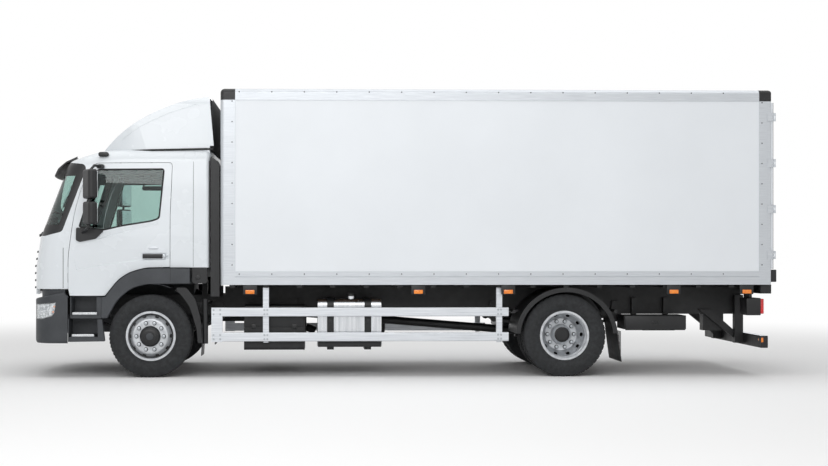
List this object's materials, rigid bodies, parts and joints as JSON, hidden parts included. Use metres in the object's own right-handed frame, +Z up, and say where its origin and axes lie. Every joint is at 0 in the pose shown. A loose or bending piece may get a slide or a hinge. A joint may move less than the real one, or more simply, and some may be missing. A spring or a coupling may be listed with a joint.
{
  "type": "box truck",
  "caption": "Two-axle rigid box truck with a tilting day cab, roof deflector, ladder frame and hollow insulated box body with rear doors.",
  "frame": {"origin": "on the floor, at the middle of the truck's length and width", "axes": "+X towards the rear of the truck, +Y to the vehicle's right, +Z up"},
  "size_m": [9.267, 3.005, 3.536],
  "materials": {
    "chassis_paint": "satin",
    "engine": "rough",
    "tank_aluminium": "polished",
    "aluminium_rail": "satin",
    "black_plastic": "matt",
    "grey_plastic": "satin",
    "lamp_lens": "clear over chrome",
    "red_lens": "gloss",
    "orange_lens": "gloss",
    "ply_floor": "satin",
    "box_panel": "gloss",
    "box_profile": "satin",
    "cab_paint": "gloss",
    "glass": "clear",
    "interior": "matt",
    "wheel_steel": "satin silver",
    "tyre": "matt"
  },
  "bodies": {
    "chassis": {"frame_rails": "chassis_paint", "cross_members": "chassis_paint", "engine_gearbox": "engine", "rear_axle": "chassis_paint", "front_axle": "chassis_paint", "leaf_springs": "chassis_paint", "fuel_tank": "tank_aluminium", "tank_straps": "chassis_paint", "equipment_boxes": "chassis_paint", "exhaust_air_tanks": "chassis_paint", "air_intake": "black_plastic", "side_guards": "aluminium_rail", "mudguards": "black_plastic", "bumper": "grey_plastic", "headlamps": "lamp_lens", "lower_steps": "grey_plastic", "underrun_guard": "chassis_paint", "tail_lamps": "red_lens", "side_markers": "orange_lens", "box_long_bearers": "chassis_paint", "box_cross_bearers": "chassis_paint", "box_floor": "ply_floor", "box_front_wall": "box_panel", "box_side_walls": "box_panel", "box_roof": "box_panel", "box_side_rails": "box_profile", "box_front_posts": "box_profile", "corner_caps": "black_plastic", "rear_frame": "box_profile"},
    "cab": {"cab_shell": "cab_paint", "cab_floor": "chassis_paint", "windscreen": "glass", "roof_deflector": "cab_paint", "sun_visor": "black_plastic", "cab_interior": "interior", "arch_flares": "grey_plastic", "cab_latches": "black_plastic"},
    "steering_wheel": {"steering_wheel": "black_plastic"},
    "front_flap": {"front_flap": "cab_paint", "grille": "black_plastic"},
    "door_left": {"cab_door_left": "cab_paint", "door_glass_left": "glass", "mirror_left": "black_plastic"},
    "door_right": {"cab_door_right": "cab_paint", "door_glass_right": "glass", "mirror_right": "black_plastic"},
    "rear_door_left": {"rear_door_left": "box_panel"},
    "rear_door_right": {"rear_door_right": "box_panel"},
    "knuckle_left": {"knuckle_left": "chassis_paint"},
    "knuckle_right": {"knuckle_right": "chassis_paint"},
    "tie_rod": {"tie_rod": "chassis_paint"},
    "front_wheel_left": {"front_wheel_left": "wheel_steel", "front_tyre_left": "tyre"},
    "front_wheel_right": {"front_wheel_right": "wheel_steel", "front_tyre_right": "tyre"},
    "rear_wheel_left": {"rear_wheels_left": "wheel_steel", "rear_tyres_left": "tyre"},
    "rear_wheel_right": {"rear_wheels_right": "wheel_steel", "rear_tyres_right": "tyre"}
  },
  "joints": [
    {"name": "cab_tilt", "type": "hinge", "parent": "chassis", "child": "cab", "pos_m": [-4.492, 0, 0.9], "axis": [0, -1, 0], "range_deg": [0, 60]},
    {"name": "steering_wheel_turn", "type": "hinge", "parent": "cab", "child": "steering_wheel", "pos_m": [-3.912, -0.56, 1.85], "axis": [0.4695, 0, 0.8829], "range_deg": [-480, 480]},
    {"name": "front_flap_lift", "type": "hinge", "parent": "cab", "child": "front_flap", "pos_m": [-4.57241, 0, 1.692], "axis": [0, 1, 0], "range_deg": [0, 80]},
    {"name": "door_left_hinge", "type": "hinge", "parent": "cab", "child": "door_left", "pos_m": [-4.089, -1.18, 1.8], "axis": [0, 0, -1], "range_deg": [0, 80]},
    {"name": "door_right_hinge", "type": "hinge", "parent": "cab", "child": "door_right", "pos_m": [-4.089, 1.18, 1.8], "axis": [0, 0, 1], "range_deg": [0, 80]},
    {"name": "rear_door_left_hinge", "type": "hinge", "parent": "chassis", "child": "rear_door_left", "pos_m": [4.6, -1.289, 2.35], "axis": [0, 0, -1], "range_deg": [0, 270]},
    {"name": "rear_door_right_hinge", "type": "hinge", "parent": "chassis", "child": "rear_door_right", "pos_m": [4.6, 1.289, 2.35], "axis": [0, 0, 1], "range_deg": [0, 270]},
    {"name": "steer_left", "type": "hinge", "parent": "chassis", "child": "knuckle_left", "pos_m": [-3.082, -0.87, 0.507], "axis": [0, 0, 1], "range_deg": [-40, 40]},
    {"name": "steer_right", "type": "hinge", "parent": "chassis", "child": "knuckle_right", "pos_m": [-3.082, 0.87, 0.507], "axis": [0, 0, 1], "range_deg": [-40, 40]},
    {"name": "tie_rod_swing", "type": "hinge", "parent": "knuckle_left", "child": "tie_rod", "pos_m": [-2.872, -0.87, 0.375], "axis": [0, 0, 1], "range_deg": [-40, 40]},
    {"name": "front_wheel_left_spin", "type": "hinge", "parent": "knuckle_left", "child": "front_wheel_left", "pos_m": [-3.082, -1.0425, 0.507], "axis": [0, 1, 0], "continuous": true},
    {"name": "front_wheel_right_spin", "type": "hinge", "parent": "knuckle_right", "child": "front_wheel_right", "pos_m": [-3.082, 1.0425, 0.507], "axis": [0, 1, 0], "continuous": true},
    {"name": "rear_wheel_left_spin", "type": "hinge", "parent": "chassis", "child": "rear_wheel_left", "pos_m": [2.018, -1.0425, 0.507], "axis": [0, 1, 0], "continuous": true},
    {"name": "rear_wheel_right_spin", "type": "hinge", "parent": "chassis", "child": "rear_wheel_right", "pos_m": [2.018, 1.0425, 0.507], "axis": [0, 1, 0], "continuous": true}
  ],
  "couplings": [
    {"joint": "steer_right", "follows": "steer_left", "ratio": 1},
    {"joint": "tie_rod_swing", "follows": "steer_left", "ratio": -1},
    {"joint": "steering_wheel_turn", "follows": "steer_left", "ratio": 12}
  ]
}
